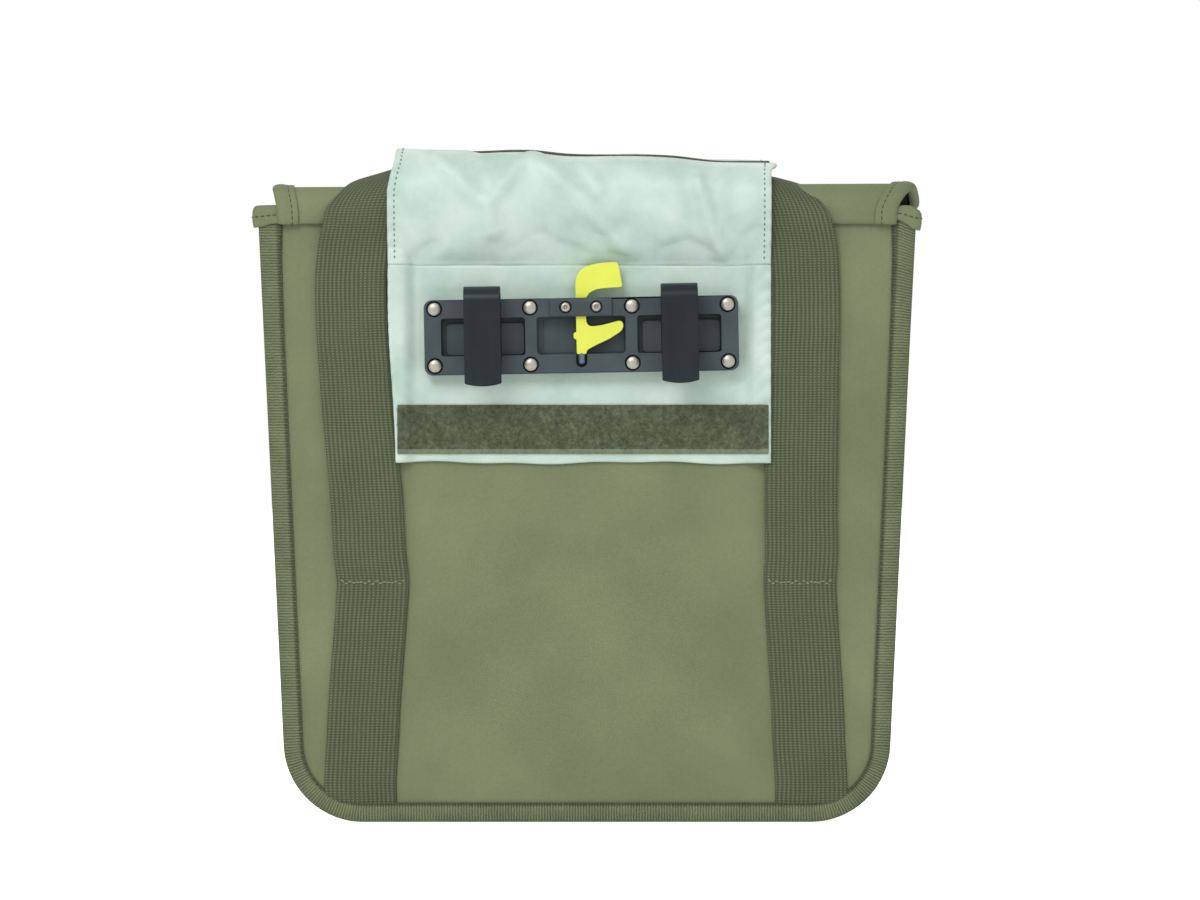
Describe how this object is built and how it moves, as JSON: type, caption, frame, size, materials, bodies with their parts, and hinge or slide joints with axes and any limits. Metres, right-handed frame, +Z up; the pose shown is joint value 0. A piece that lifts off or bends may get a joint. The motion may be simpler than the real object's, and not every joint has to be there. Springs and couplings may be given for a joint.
{
  "type": "bicycle pannier",
  "caption": "Flat-backed shopper pannier with a lid, webbing handle, fold-out cover flap, hook rail with rack hooks and a turning lock lever.",
  "frame": {"origin": "centre of the footprint, on the surface the bag stands on", "axes": "+Z up, -Y the mounting side that hangs on the rack, +X to the right when looking at that side"},
  "size_m": [0.3826, 0.1692, 0.3877],
  "materials": {
    "canvas": "coated woven polyester, matt",
    "tape": "ribbed woven binding tape",
    "webbing": "ribbed polypropylene webbing",
    "mint": "coated nylon, low sheen",
    "fuzz": "hook-and-loop tape",
    "rail": "moulded, fine satin texture",
    "hook": "moulded, satin",
    "lever": "moulded, smooth",
    "nickel": "nickelled steel"
  },
  "bodies": {
    "bag": {"back_panel": "canvas", "front_panel": "canvas", "gusset": "canvas", "back_binding": "tape", "front_binding": "tape", "mouth_band_left": "canvas", "mouth_band_front": "canvas", "mouth_band_right": "canvas", "lid": "canvas", "lid_binding": "canvas", "handle": "webbing", "mount_panel": "mint", "loop_tape": "fuzz", "cover_flap": "mint", "hook_tape": "fuzz", "rail": "rail", "rivet_1": "nickel", "rivet_2": "nickel", "rivet_3": "nickel", "rivet_4": "nickel", "rivet_5": "nickel", "rivet_6": "nickel", "rivet_7": "nickel", "rivet_8": "nickel", "hook_left": "hook", "hook_right": "hook", "lever_bracket": "rail", "screw_left": "nickel", "screw_right": "nickel"},
    "lever": {"lever": "lever"}
  },
  "joints": [
    {"name": "lever_turn", "type": "hinge", "parent": "bag", "child": "lever", "pos_m": [-0.0032, -0.06075, 0.2796], "axis": [0.0175, 0, -0.9998], "range_deg": [0, 90]}
  ]
}
